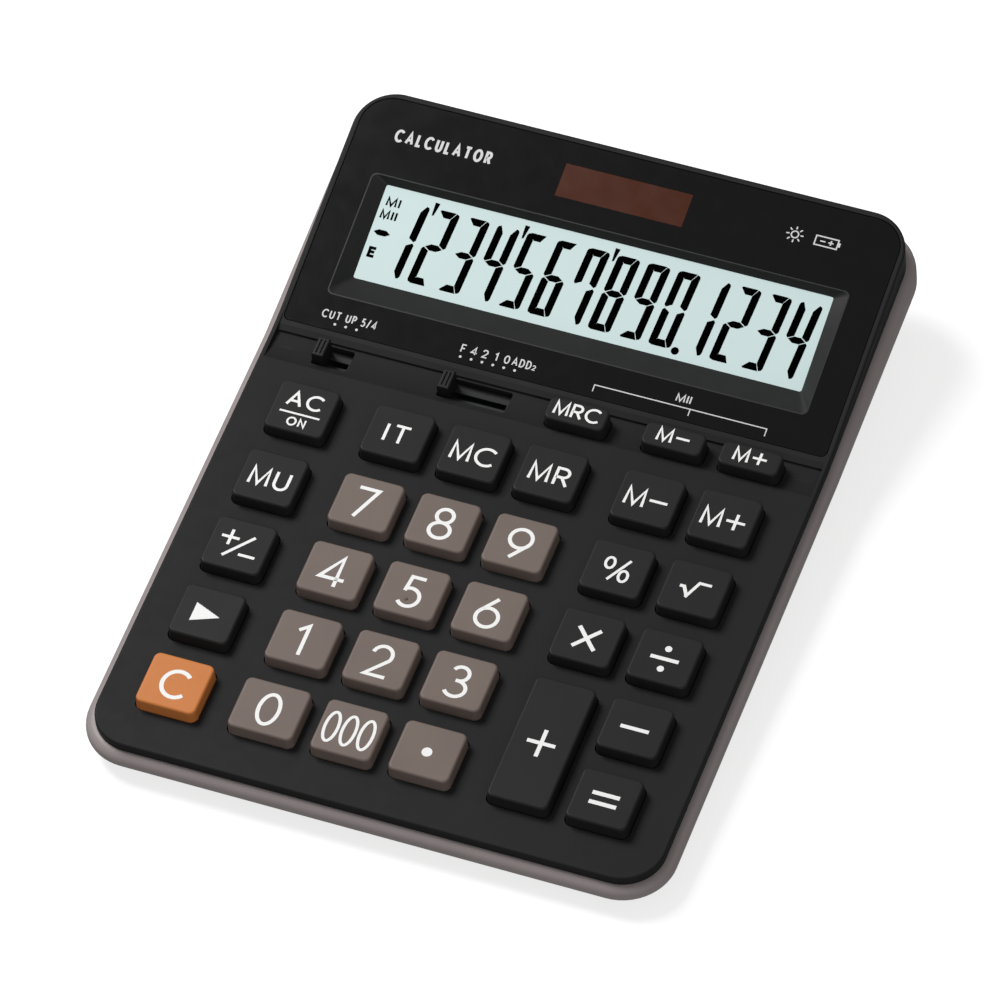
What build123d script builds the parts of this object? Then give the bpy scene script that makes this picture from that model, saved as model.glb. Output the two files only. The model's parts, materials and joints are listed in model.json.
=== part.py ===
from build123d import *
from math import cos, radians, sin, tan
import os

os.makedirs("parts", exist_ok=True)

# A desk calculator: a thin slab with a flat key deck, a display head that rises from it, and a raised
# foot block under the head.
# +X is to the user's right, +Y away from the user, +Z up, origin under the middle on the desk.

# whole body
rim_width = 155.0
rim_length = 209.0
rim_corner = 13.6
rim_ledge = 2.6
rim_round = 2.55
deck_tilt = 3.0
head_tilt = 11.0
deck_height = 10.385
deck_front = -104.54
head_start = 137.0

# upper case
case_corner = 11.0
case_wall = 2.0
deck_thickness = 2.0
black_wall_height = 2.6
bend_length = 7.0
top_edge_round = 0.6
tongue_depth = 1.6
tongue_wall = 1.0
case_back_height = 16.0

# lower case
rim_bend_y = 135.0
rim_rise = 6.3
base_rise = 3.0
base_depth = 9.0
floor_thickness = 1.3
lower_inset = 3.5
base_chamfer = 3.4

# keys, in the deck's own plane
column_x = [-57.05, -31.25, -10.67, 9.91, 35.82, 56.3]
row_y = [110.5, 87.9, 65.95, 43.95, 21.9]
key_width = 16.3
key_depth = 15.7
key_height = 3.5
key_corner = 1.9
key_corner_inside = 1.0
key_edge_round = 0.65
key_draft = 3.0
key_gap = 0.35
key_wall = 1.2
flange_top = -2.1
flange_thickness = 0.9
flange_reach = 0.9
post_radius = 2.4
zero_key_extra = 1.3
small_key_depth = 7.4
small_key_y = 130.0
small_key_drop = 0.7
bump_radius = 0.55
bump_x = -0.6
bump_y = -2.8
bump_height = 3.35

# band between the deck and the head
band_front = 125.4
band_step = 1.5
band_back = 134.9
band_half_width = 73.7
band_drop = 1.3
band_front_drop = 0.45
lip_back = 136.6
band_underside = -2.7

# slide switches
detent_pitch = 2.95
round_knob_x = -59.8
decimal_knob_x = -25.7
round_steps = 2
decimal_steps = 5
knob_width = 3.1
knob_depth = 5.8
knob_y = 130.8
knob_height = 2.8
knob_bottom = -3.2
slot_depth = 7.0
slot_gap = 0.4
switch_top = -3.4
switch_wall = 2.4
stem_width = 1.4
slit_depth = 1.8
carriage_height = 0.9

# display head, in the head's own plane
panel_half_width = 73.4
panel_front = 0.95
panel_back = 69.0
panel_back_corner = 8.5
panel_front_corner = 1.8
panel_thickness = 1.0
panel_drop = 0.12
frame_half_width = 65.0
frame_front = 10.9
frame_back = 47.2
frame_corner = 1.6
frame_flange = 2.0
glass_half_width = 60.7
glass_front = 18.5
glass_length = 26.94
glass_sink = 3.53
glass_tilt = 3.12
glass_thickness = 2.2
glass_margin = 2.4
holder_wall = 2.4
holder_end_wall = 1.2
holder_depth = 3.4
solar_half_width = 17.3
solar_front = 53.1
solar_back = 62.8
solar_margin = 1.6
solar_thickness = 1.1
head_skin = 2.0

# inside
board_half_width = 65.2
board_front = 9.0
board_back = 146.0
board_top = -5.4
board_thickness = 1.2
mat_thickness = 0.5
mat_front = 9.75
mat_back = 125.25
mat_arm_back = 137.0
mat_arm_width = 65.0
mat_arm_x = 33.2
dome_radius = 4.6
dome_slope = 43
small_dome_radius = 3.4
small_dome_slope = 30
dome_air_radius = 2.2
chip_x = 36.0
chip_y = 141.5
chip_radius = 4.2
chip_height = 1.3
capacitor_x = -44.0
capacitor_radius = 2.0
capacitor_height = 2.0
board_boss_x = [-44.9, 22.6]
board_boss_y = [33.6, 77.8, 122.0]
board_boss_radius = 2.4
board_screw_radius = 0.95
case_boss_x = 69.6
case_boss_y = [13.0, 70.0, 128.0, 188.0]
case_boss_radius = 3.0
case_boss_foot = -5.9
case_screw_radius = 1.15
screw_head_radius = 2.5
screw_head_height = 1.6

# foot block, battery and feet
block_half_width = 58.0
block_front = 150.0
block_back = 195.0
block_clearance = 1.3
block_wall = 2.0
block_corner = 7.0
cell_x = 0.0
cell_y = 172.0
cell_radius = 5.8
cell_height = 5.4
lead_hole_x = 1.2
door_half_width = 17.0
door_half_length = 10.0
door_thickness = 1.5
foot_radius = 4.6
wire_radius = 0.4
foot_sink = 0.5
front_foot_y = 14.0
front_foot_x = 56.0
back_foot_x = 48.0
back_foot_y = 186.0

# planes the object is laid out in
deck = Plane(
    origin=(0, deck_front, deck_height),
    x_dir=(1, 0, 0),
    z_dir=(0, -sin(radians(deck_tilt)), cos(radians(deck_tilt))),
)
side = Plane(origin=deck.origin, x_dir=deck.y_dir, z_dir=(1, 0, 0))
up = Axis(deck.origin, deck.z_dir)
head_angle = radians(deck_tilt + head_tilt)
head = Plane(
    origin=deck.from_local_coords(Vector(0, head_start, 0)),
    x_dir=(1, 0, 0),
    z_dir=(0, -sin(head_angle), cos(head_angle)),
)
glass_angle = radians(deck_tilt + head_tilt + glass_tilt)
glass = Plane(
    origin=head.from_local_coords(Vector(0, glass_front, -glass_sink)),
    x_dir=(1, 0, 0),
    z_dir=(0, -sin(glass_angle), cos(glass_angle)),
)
wide = 2 * rim_width


def head_point(v, depth):
    """Side-view point v along the head's face and depth below it, in the deck's own frame."""
    angle = radians(head_tilt)
    y = head_start + v * cos(angle) + depth * sin(angle)
    z = v * sin(angle) - depth * cos(angle)
    return (y, z)


def glass_point(along, depth):
    """Side-view point along the display glass and below it, in the deck's own frame."""
    angle = radians(head_tilt + glass_tilt)
    y, z = head_point(glass_front, glass_sink)
    return (y + along * cos(angle) + depth * sin(angle), z + along * sin(angle) - depth * cos(angle))


def rim_line(y, drop):
    """Height of the joint between the two cases at y, less drop, in the deck's own frame."""
    rise = max(0.0, y - rim_bend_y) * tan(radians(rim_rise))
    return -black_wall_height + rise - drop


def base_line(y, lift):
    """Height of the lower case's underside at y, plus lift, in the deck's own frame."""
    rise = max(0.0, y - rim_bend_y) * tan(radians(base_rise))
    return -base_depth + rise + lift


case_width = rim_width - 2 * rim_ledge
case_length = rim_length - 2 * rim_ledge
room_width = case_width - 2 * case_wall
room_length = case_length - 2 * case_wall
body_middle = rim_length / 2
far_back = rim_length + 20


# key layout: name, centre x, centre y, width and depth at the deck, drop of the flange's top
keys = []
key_rows = [
    ["ac", "it", "mc", "mr", "m_minus", "m_plus"],
    ["mu", "7", "8", "9", "percent", "root"],
    ["sign", "4", "5", "6", "times", "divide"],
    ["arrow", "1", "2", "3", None, "minus"],
    ["c", None, "000", "point", None, "equals"],
]
for row, names in enumerate(key_rows):
    for column, name in enumerate(names):
        if name is None:
            continue
        keys.append((name, column_x[column], row_y[row], key_width, key_depth, 0.0))
zero_x = column_x[1] - zero_key_extra / 2
keys.append(("0", zero_x, row_y[4], key_width + zero_key_extra, key_depth, 0.0))
plus_y = (row_y[3] + row_y[4]) / 2
keys.append(("plus", column_x[4], plus_y, key_width, key_depth + row_y[3] - row_y[4], 0.0))
for name, column in (("mrc", 3), ("m2_minus", 4), ("m2_plus", 5)):
    keys.append((name, column_x[column], small_key_y, key_width, small_key_depth, small_key_drop))


def slot_span(knob_x, steps):
    """Left and right ends of a slide switch slot."""
    half = knob_width / 2 + slot_gap
    return (knob_x - half, knob_x + steps * detent_pitch + half)


slots = [slot_span(round_knob_x, round_steps), slot_span(decimal_knob_x, decimal_steps)]

# upper case -------------------------------------------------------------------------------------------
bend_end = head_point(bend_length, 0)
head_slope = radians(head_tilt)

# inside space of the upper case
skin = panel_thickness + panel_drop + head_skin
with BuildPart() as case_room:
    with BuildSketch(deck.offset(-base_depth)):
        with Locations((0, body_middle)):
            RectangleRounded(room_width, room_length, case_corner - case_wall)
    extrude(amount=base_depth + case_back_height)
    with BuildSketch(side):
        with BuildLine():
            Polyline(
                (-5, -20),
                (-5, -deck_thickness),
                (band_front - 1.5, -deck_thickness),
                (band_front - 1.5, band_underside),
                (head_start + 2.0, band_underside),
                head_point(4.0, skin),
                head_point(far_back - head_start, skin),
                (far_back + 5, -20),
                close=True,
            )
        make_face()
    extrude(amount=wide, both=True, mode=Mode.INTERSECT)

# tongue of the upper case that drops inside the lower case
with BuildPart() as case_tongue:
    with BuildSketch(deck.offset(-base_depth)):
        with Locations((0, body_middle)):
            RectangleRounded(
                case_width - 2 * tongue_wall,
                case_length - 2 * tongue_wall,
                case_corner - tongue_wall,
            )
            RectangleRounded(room_width, room_length, case_corner - case_wall, mode=Mode.SUBTRACT)
    extrude(amount=base_depth + case_back_height)
    with BuildSketch(side):
        with BuildLine():
            Polyline(
                (-5, rim_line(0, tongue_depth)),
                (-5, rim_line(0, -0.5)),
                (rim_bend_y, rim_line(rim_bend_y, -0.5)),
                (far_back, rim_line(far_back, -0.5)),
                (far_back, rim_line(far_back, tongue_depth)),
                (rim_bend_y, rim_line(rim_bend_y, tongue_depth)),
                close=True,
            )
        make_face()
    extrude(amount=wide, both=True, mode=Mode.INTERSECT)

with BuildPart() as upper_case:
    # plan outline, cut to the side profile: flat deck, soft bend, straight head
    with BuildSketch(deck.offset(-base_depth)):
        with Locations((0, body_middle)):
            RectangleRounded(case_width, case_length, case_corner)
    extrude(amount=base_depth + case_back_height)
    with BuildSketch(side):
        with BuildLine():
            Polyline(
                (head_start - bend_length, 0),
                (-5, 0),
                (-5, rim_line(0, 0)),
                (rim_bend_y, rim_line(rim_bend_y, 0)),
                (far_back, rim_line(far_back, 0)),
                head_point(far_back - head_start + 5, 0),
                bend_end,
            )
            TangentArc(
                bend_end,
                (head_start - bend_length, 0),
                tangent=(-cos(head_slope), -sin(head_slope)),
            )
        make_face()
    extrude(amount=wide, both=True, mode=Mode.INTERSECT)
    top_faces = upper_case.faces().filter_by(lambda f: f.normal_at().dot(deck.z_dir) > 0.9)
    rim_edges = [
        e
        for e in top_faces.edges()
        if e.position_at(0.5).Z > 0 and len([f for f in top_faces if e in f.edges()]) == 1
    ]
    fillet(rim_edges, top_edge_round)

    # inside space, and the tongue inside the lower case
    add(case_room.part, mode=Mode.SUBTRACT)
    add(case_tongue.part)

    # hollow band between deck and head: a step down, a scoop that deepens, and the lip of the head
    with BuildSketch(side):
        with BuildLine():
            front_of_scoop = (band_front + band_step, -band_front_drop)
            back_of_scoop = (band_back, -band_drop)
            Polyline((band_front, 0), (band_front, 3), (head_point(bend_length + 1, -3)))
            Polyline(
                head_point(bend_length + 1, -3),
                head_point(bend_length + 0.2, 0),
                head_point((lip_back - head_start) / cos(head_slope), 0),
                (band_back + 0.1, -0.65),
                back_of_scoop,
            )
            Spline(
                back_of_scoop,
                front_of_scoop,
                tangents=[(-1, 0.02), (-1, 0.25)],
            )
            Line(front_of_scoop, (band_front, 0))
        make_face()
    extrude(amount=band_half_width, both=True, mode=Mode.SUBTRACT)

    # recess for the glossy panel
    with BuildSketch(head) as panel_recess:
        with BuildLine():
            Polyline(
                (-panel_half_width - 0.05, panel_front - 0.05),
                (panel_half_width + 0.05, panel_front - 0.05),
                (panel_half_width + 0.05, panel_back + 0.05),
                (-panel_half_width - 0.05, panel_back + 0.05),
                close=True,
            )
        make_face()
        corners = panel_recess.vertices().sort_by(Axis.Y)
        fillet(corners[0:2], panel_front_corner)
        corners = panel_recess.vertices().sort_by(Axis.Y)
        fillet(corners[-2:], panel_back_corner)
    extrude(amount=3, mode=Mode.SUBTRACT)
    extrude(panel_recess.sketch, amount=-(panel_thickness + panel_drop), mode=Mode.SUBTRACT)

    # opening for the display frame, pocket and wire hole for the solar cell
    with BuildSketch(head):
        with Locations((0, (frame_front + frame_back) / 2)):
            Rectangle(
                2 * (frame_half_width + frame_flange) + 0.2,
                frame_back - frame_front + 2 * frame_flange + 0.2,
            )
    extrude(amount=-8, mode=Mode.SUBTRACT)
    with BuildSketch(head.offset(-panel_thickness - panel_drop)):
        with Locations((0, (solar_front + solar_back) / 2)):
            Rectangle(
                2 * (solar_half_width + solar_margin) + 0.2,
                solar_back - solar_front + 2 * solar_margin + 0.2,
            )
    extrude(amount=-solar_thickness - 0.1, mode=Mode.SUBTRACT)
    with BuildSketch(head):
        with Locations((0, solar_back - 1.5)):
            RectangleRounded(14, 3, 1)
    extrude(amount=-8, mode=Mode.SUBTRACT)

    # key holes and switch slots
    with BuildSketch(deck.offset(4)):
        for name, x, y, width, depth, drop in keys:
            with Locations((x, y)):
                RectangleRounded(width + 2 * key_gap, depth + 2 * key_gap, key_corner + key_gap)
        for left, right in slots:
            with Locations(((left + right) / 2, knob_y)):
                RectangleRounded(right - left, slot_depth, 0.7)
    extrude(amount=-8, mode=Mode.SUBTRACT)

    # bosses for the board screws and the case screws
    with BuildSketch(deck.offset(board_top + 0.02)):
        with Locations([(x, y) for x in board_boss_x for y in board_boss_y]):
            Circle(board_boss_radius)
    extrude(amount=-board_top - deck_thickness / 2)
    with BuildSketch(deck.offset(board_top)):
        with Locations([(x, y) for x in board_boss_x for y in board_boss_y]):
            Circle(board_screw_radius + 0.05)
    extrude(amount=4.2, mode=Mode.SUBTRACT)
    for y in case_boss_y:
        foot = case_boss_foot + base_line(y, base_depth)
        roof = max(0.0, (y - head_start) * tan(head_slope) - 2.0) - deck_thickness / 2
        with BuildSketch(deck.offset(foot)):
            with Locations((-case_boss_x, y), (case_boss_x, y)):
                Circle(case_boss_radius)
        extrude(amount=roof - foot)
        with BuildSketch(deck.offset(foot)):
            with Locations((-case_boss_x, y), (case_boss_x, y)):
                Circle(case_screw_radius + 0.05)
        extrude(amount=4.6, mode=Mode.SUBTRACT)

# lower case -------------------------------------------------------------------------------------------
# inside space of the lower case
with BuildPart() as case_tray:
    with BuildSketch(deck.offset(-base_depth)):
        with Locations((0, body_middle)):
            RectangleRounded(
                rim_width - 2 * lower_inset,
                rim_length - 2 * lower_inset,
                rim_corner - lower_inset,
            )
    extrude(amount=base_depth + case_back_height)
    with BuildSketch(side):
        with BuildLine():
            Polyline(
                (-5, 20),
                (-5, base_line(0, floor_thickness)),
                (rim_bend_y, base_line(rim_bend_y, floor_thickness)),
                (far_back, base_line(far_back, floor_thickness)),
                (far_back, 20),
                close=True,
            )
        make_face()
    extrude(amount=wide, both=True, mode=Mode.INTERSECT)

with BuildPart() as lower_case:
    with BuildSketch(deck.offset(-base_depth - 2)):
        with Locations((0, body_middle)):
            RectangleRounded(rim_width, rim_length, rim_corner)
    extrude(amount=base_depth + case_back_height)
    with BuildSketch(side):
        with BuildLine():
            Polyline(
                (-5, rim_line(0, 0)),
                (-5, base_line(0, 0)),
                (rim_bend_y, base_line(rim_bend_y, 0)),
                (far_back, base_line(far_back, 0)),
                (far_back, rim_line(far_back, 0)),
                (rim_bend_y, rim_line(rim_bend_y, 0)),
                close=True,
            )
        make_face()
    extrude(amount=wide, both=True, mode=Mode.INTERSECT)
    upper_faces = lower_case.faces().filter_by(lambda f: f.normal_at().dot(deck.z_dir) > 0.9)
    shared = upper_faces[0].edges() & upper_faces[1].edges()
    fillet([e for e in upper_faces.edges() if e not in shared], rim_round)
    under_faces = lower_case.faces().filter_by(lambda f: f.normal_at().dot(deck.z_dir) < -0.9)
    shared = under_faces[0].edges() & under_faces[1].edges()
    chamfer([e for e in under_faces.edges() if e not in shared], base_chamfer)

    # foot block that props the back up
    with BuildSketch(Plane.XY.offset(block_clearance)):
        with Locations((0, deck_front + (block_front + block_back) / 2)):
            RectangleRounded(2 * block_half_width, block_back - block_front, block_corner)
    extrude(amount=12, taper=-4)

    # inside space, then the inside of the foot block
    add(case_tray.part, mode=Mode.SUBTRACT)
    with BuildSketch(Plane.XY.offset(block_clearance + block_wall)):
        with Locations((0, deck_front + (block_front + block_back) / 2)):
            RectangleRounded(
                2 * (block_half_width - block_wall),
                block_back - block_front - 2 * block_wall,
                block_corner - block_wall,
            )
    extrude(amount=12, taper=-4, mode=Mode.SUBTRACT)

    # cell well with a door opening below it and a screw post beside it
    with BuildSketch(Plane.XY.offset(block_clearance)):
        with Locations((cell_x, deck_front + cell_y)):
            RectangleRounded(2 * door_half_width + 4, 2 * door_half_length + 4, 2.5)
    extrude(amount=block_wall + cell_height + 1.2)
    with BuildSketch(Plane.XY.offset(block_clearance)):
        with Locations((cell_x, deck_front + cell_y)):
            RectangleRounded(2 * door_half_width + 0.3, 2 * door_half_length + 0.3, 1.2)
    extrude(amount=door_thickness + 0.1, mode=Mode.SUBTRACT)
    with BuildSketch(Plane.XY.offset(block_clearance)):
        with Locations((cell_x - 5, deck_front + cell_y)):
            RectangleRounded(2 * cell_radius + 3.4, 2 * cell_radius + 3.4, 1.0)
    extrude(amount=door_thickness + cell_height + 1.0, mode=Mode.SUBTRACT)
    with BuildSketch(Plane.XY.offset(block_clearance)):
        with Locations((cell_x + 11.5, deck_front + cell_y)):
            Circle(0.95)
    extrude(amount=7, mode=Mode.SUBTRACT)

    # hole in the well's roof for the negative lead, and slot for the positive strip
    with BuildSketch(Plane.XY.offset(block_clearance + door_thickness)):
        with Locations((cell_x + lead_hole_x, deck_front + cell_y)):
            Circle(2 * wire_radius)
    extrude(amount=cell_height + 4, mode=Mode.SUBTRACT)
    with BuildSketch(Plane.XY.offset(block_clearance + door_thickness)):
        with Locations((cell_x - 5 - cell_radius - 0.8, deck_front + cell_y)):
            Rectangle(0.7, 6.4)
    extrude(amount=cell_height + 4, mode=Mode.SUBTRACT)

    # case screw posts with counterbores
    for y in case_boss_y:
        foot = case_boss_foot + base_line(y, base_depth)
        with BuildSketch(deck.offset(foot)):
            with Locations((-case_boss_x, y), (case_boss_x, y)):
                Circle(case_boss_radius + 1.0)
        extrude(amount=-2.2)
        with BuildSketch(deck.offset(foot - 1.3)):
            with Locations((-case_boss_x, y), (case_boss_x, y)):
                Circle(screw_head_radius + 0.3)
        extrude(amount=-6, mode=Mode.SUBTRACT)
        with BuildSketch(deck.offset(foot + 1)):
            with Locations((-case_boss_x, y), (case_boss_x, y)):
                Circle(case_screw_radius + 0.25)
        extrude(amount=-8, mode=Mode.SUBTRACT)

    # foot pockets
    with BuildSketch(deck.offset(-base_depth + foot_sink)):
        with Locations((-front_foot_x, front_foot_y), (front_foot_x, front_foot_y)):
            Circle(foot_radius + 0.1)
    extrude(amount=-3, mode=Mode.SUBTRACT)
    with BuildSketch(Plane.XY.offset(block_clearance + foot_sink)):
        with Locations((-back_foot_x, deck_front + back_foot_y), (back_foot_x, deck_front + back_foot_y)):
            Circle(foot_radius + 0.1)
    extrude(amount=-3, mode=Mode.SUBTRACT)

# display head pieces ----------------------------------------------------------------------------------
with BuildPart() as display_panel:
    with BuildSketch(head.offset(-panel_drop)) as panel_plan:
        with BuildLine():
            Polyline(
                (-panel_half_width, panel_front),
                (panel_half_width, panel_front),
                (panel_half_width, panel_back),
                (-panel_half_width, panel_back),
                close=True,
            )
        make_face()
        corners = panel_plan.vertices().sort_by(Axis.Y)
        fillet(corners[0:2], panel_front_corner)
        corners = panel_plan.vertices().sort_by(Axis.Y)
        fillet(corners[-2:], panel_back_corner)
        with Locations((0, (frame_front + frame_back) / 2)):
            RectangleRounded(
                2 * frame_half_width,
                frame_back - frame_front,
                frame_corner,
                mode=Mode.SUBTRACT,
            )
        with Locations((0, (solar_front + solar_back) / 2)):
            Rectangle(2 * solar_half_width, solar_back - solar_front, mode=Mode.SUBTRACT)
    extrude(amount=-panel_thickness)
    panel_rim = display_panel.faces().sort_by(Axis(head.origin, head.z_dir))[-1].outer_wire().edges()
    chamfer(panel_rim, 0.2)

with BuildPart() as display_frame:
    # ring inside the panel's opening and a flange under the panel
    with BuildSketch(head.offset(-panel_drop)):
        with Locations((0, (frame_front + frame_back) / 2)):
            RectangleRounded(2 * frame_half_width - 0.1, frame_back - frame_front - 0.1, frame_corner)
    extrude(amount=-7)
    with BuildSketch(head.offset(-panel_drop - panel_thickness)):
        with Locations((0, (frame_front + frame_back) / 2)):
            Rectangle(
                2 * (frame_half_width + frame_flange),
                frame_back - frame_front + 2 * frame_flange,
            )
    extrude(amount=-7)
    with BuildSketch(glass.offset(0.02)):
        with Locations((0, glass_length / 2)):
            Rectangle(200, 80)
    extrude(amount=-12, mode=Mode.SUBTRACT)
    # sloped walls down to the glass
    with BuildSketch(head.offset(-panel_drop + 0.01)):
        with Locations((0, (frame_front + frame_back) / 2)):
            RectangleRounded(2 * frame_half_width - 0.7, frame_back - frame_front - 0.7, frame_corner)
    with BuildSketch(glass.offset(-0.01)):
        with Locations((0, glass_length / 2)):
            RectangleRounded(2 * glass_half_width, glass_length, 0.6)
    loft(mode=Mode.SUBTRACT)

with BuildPart() as lcd_glass:
    with BuildSketch(glass):
        with Locations((0, glass_length / 2)):
            Rectangle(2 * (glass_half_width + glass_margin), glass_length + 2 * glass_margin)
    extrude(amount=-glass_thickness)

with BuildPart() as lcd_reflector:
    with BuildSketch(glass.offset(-glass_thickness - 0.02)):
        with Locations((0, glass_length / 2)):
            Rectangle(2 * (glass_half_width + glass_margin), glass_length + 2 * glass_margin)
    extrude(amount=-0.4)

with BuildPart() as lcd_holder:
    with BuildSketch(glass.offset(-0.02)):
        with Locations((0, glass_length / 2)):
            Rectangle(
                2 * (glass_half_width + glass_margin + holder_wall),
                glass_length + 2 * (glass_margin + holder_end_wall),
            )
    extrude(amount=-holder_depth)
    with BuildSketch(glass.offset(0.1)):
        with Locations((0, glass_length / 2)):
            Rectangle(
                2 * (glass_half_width + glass_margin) + 0.2,
                glass_length + 2 * glass_margin + 0.2,
            )
    extrude(amount=-glass_thickness - 0.55, mode=Mode.SUBTRACT)
    with BuildSketch(glass):
        with Locations((0, glass_length / 2)):
            Rectangle(2 * glass_half_width - 6, glass_length - 6)
    extrude(amount=-holder_depth - 1, mode=Mode.SUBTRACT)
    # slot the ribbon leaves by
    with BuildSketch(glass.offset(-glass_thickness)):
        with Locations((0, -1.6)):
            Rectangle(53, 9.6)
    extrude(amount=-holder_depth, mode=Mode.SUBTRACT)

with BuildPart() as lcd_ribbon:
    ribbon_start = glass_point(3.0, glass_thickness + 0.55)
    ribbon_knee = glass_point(-2.5, glass_thickness + 0.9)
    with BuildSketch(side):
        with BuildLine() as ribbon_line:
            Polyline(
                (board_back - 6, board_top + 0.12),
                (board_back, board_top + 0.12),
                ribbon_knee,
                ribbon_start,
            )
            offset(ribbon_line.line, amount=0.1)
        make_face()
    extrude(amount=25, both=True)

with BuildPart() as solar_window:
    with BuildSketch(head.offset(-panel_drop)):
        with Locations((0, (solar_front + solar_back) / 2)):
            Rectangle(2 * solar_half_width - 0.1, solar_back - solar_front - 0.1)
    extrude(amount=-panel_thickness)

with BuildPart() as solar_cell:
    with BuildSketch(head.offset(-panel_drop - panel_thickness - 0.02)):
        with Locations((0, (solar_front + solar_back) / 2)):
            Rectangle(
                2 * (solar_half_width + solar_margin),
                solar_back - solar_front + 2 * solar_margin,
            )
    extrude(amount=-solar_thickness)

# circuit board, key mat and what sits on the board ---------------------------------------------------
boss_places = [(x, y) for x in board_boss_x for y in board_boss_y]

with BuildPart() as circuit_board:
    with BuildSketch(deck.offset(board_top)):
        with Locations((0, (board_front + board_back) / 2)):
            RectangleRounded(2 * board_half_width, board_back - board_front, 3)
        with Locations(boss_places):
            Circle(board_screw_radius + 0.3, mode=Mode.SUBTRACT)
    extrude(amount=-board_thickness)

with BuildPart() as key_mat:
    with BuildSketch(deck.offset(board_top)):
        with Locations((0, (mat_front + mat_back) / 2)):
            RectangleRounded(2 * board_half_width - 0.8, mat_back - mat_front, 3)
        with Locations((mat_arm_x, (mat_back + mat_arm_back) / 2 - 0.5)):
            Rectangle(mat_arm_width, mat_arm_back - mat_back + 1)
        with Locations(boss_places):
            Circle(board_boss_radius + 0.6, mode=Mode.SUBTRACT)
    extrude(amount=mat_thickness)
    # one dome under every key, reaching up to its flange
    dome_kinds = ((0.0, dome_radius, dome_slope), (small_key_drop, small_dome_radius, small_dome_slope))
    for dome_drop, radius, slope in dome_kinds:
        with BuildSketch(deck.offset(board_top + mat_thickness)):
            with Locations([(key[1], key[2]) for key in keys if key[5] == dome_drop]):
                Circle(radius)
        rest = flange_top - flange_thickness - dome_drop
        extrude(amount=rest - board_top - mat_thickness, taper=slope)
    # air space in each dome over the board's contact
    with BuildSketch(deck.offset(board_top)):
        with Locations([(key[1], key[2]) for key in keys]):
            Circle(dome_air_radius)
    extrude(amount=1.0, mode=Mode.SUBTRACT)

with BuildPart() as controller_chip:
    with BuildSketch(deck.offset(board_top)):
        with Locations((chip_x, chip_y)):
            Circle(chip_radius)
    extrude(amount=chip_height, taper=35)

with BuildPart() as capacitor:
    with BuildSketch(deck.offset(board_top)):
        with Locations((capacitor_x, chip_y)):
            Circle(capacitor_radius)
    extrude(amount=capacitor_height)
    capacitor_rim = capacitor.edges().group_by(up)[-1]
    fillet(capacitor_rim, 0.3)


def switch_body(knob_x, steps):
    """Housing of a slide switch: a box over the carriage with a slit for the knob's stem."""
    left, right = slot_span(knob_x, steps)
    middle = (left + right) / 2
    travel = steps * detent_pitch
    with BuildPart() as body:
        with BuildSketch(deck.offset(board_top)):
            with Locations((middle, knob_y)):
                Rectangle(right - left + 2 * switch_wall, slot_depth + 1.0)
        extrude(amount=switch_top - board_top)
        with BuildSketch(deck.offset(board_top)):
            with Locations((middle, knob_y)):
                Rectangle(travel + 5.0, 4.4)
        extrude(amount=carriage_height + 0.4, mode=Mode.SUBTRACT)
        with BuildSketch(deck.offset(board_top)):
            with Locations((middle, knob_y)):
                Rectangle(travel + stem_width + 0.5, slit_depth)
        extrude(amount=4, mode=Mode.SUBTRACT)
    return body.part


def switch_knob(knob_x):
    """Knob of a slide switch: grooved block, stem through the slit and carriage inside the housing."""
    with BuildPart() as knob:
        with BuildSketch(deck.offset(knob_bottom)):
            with Locations((knob_x, knob_y)):
                Rectangle(knob_width, knob_depth)
        extrude(amount=knob_height - knob_bottom)
        top = knob.faces().sort_by(up)[-1]
        fillet(top.edges(), 0.35)
        with BuildSketch(deck.offset(knob_height - 0.4)):
            for shift in (-0.55, 0.55):
                with Locations((knob_x + shift, knob_y)):
                    Rectangle(0.45, knob_depth - 1.4)
        extrude(amount=1, mode=Mode.SUBTRACT)
        with BuildSketch(deck.offset(board_top + 0.2)):
            with Locations((knob_x, knob_y)):
                Rectangle(stem_width, slit_depth - 0.5)
        extrude(amount=knob_bottom - board_top)
        with BuildSketch(deck.offset(board_top + 0.2)):
            with Locations((knob_x, knob_y)):
                Rectangle(4.2, 3.8)
        extrude(amount=carriage_height)
    return knob.part


# keys -------------------------------------------------------------------------------------------------
def key_cap(x, y, width, depth, drop):
    """Hollow key: drafted cap with soft top edges, a flange under the deck and a post on the dome."""
    cap_base = flange_top - drop
    rise = key_height - cap_base
    spread = -cap_base * tan(radians(key_draft))
    with BuildPart() as cap:
        with BuildSketch(deck.offset(cap_base - 0.01)):
            with Locations((x, y)):
                RectangleRounded(width + 2 * spread, depth + 2 * spread, key_corner + spread)
        extrude(amount=rise + 0.01, taper=key_draft)
        fillet(cap.faces().sort_by(up)[-1].edges(), key_edge_round)
        with BuildSketch(deck.offset(cap_base)):
            with Locations((x, y)):
                RectangleRounded(width + 2 * flange_reach, depth + 2 * flange_reach, key_corner)
        extrude(amount=-flange_thickness)
        with BuildSketch(deck.offset(cap_base - flange_thickness)):
            with Locations((x, y)):
                RectangleRounded(width - 2 * key_wall, depth - 2 * key_wall, key_corner_inside)
        extrude(amount=rise + flange_thickness - key_wall, mode=Mode.SUBTRACT)
        with BuildSketch(deck.offset(cap_base - flange_thickness)):
            with Locations((x, y)):
                Circle(post_radius)
        extrude(amount=rise + flange_thickness - key_wall / 2)
    return cap.part


key_parts = {}
for name, x, y, width, depth, drop in keys:
    key_parts[name] = key_cap(x, y, width, depth, drop)

# raised dot on the 5 key
with BuildPart() as key_five:
    add(key_parts["5"])
    with Locations(deck.from_local_coords(Vector(column_x[2] + bump_x, row_y[2] + bump_y, bump_height))):
        Sphere(bump_radius)
key_parts["5"] = key_five.part

# battery, its contacts and door ----------------------------------------------------------------------
cell_bottom = block_clearance + door_thickness + 0.15
cell_place = (cell_x - 5, deck_front + cell_y)

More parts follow.
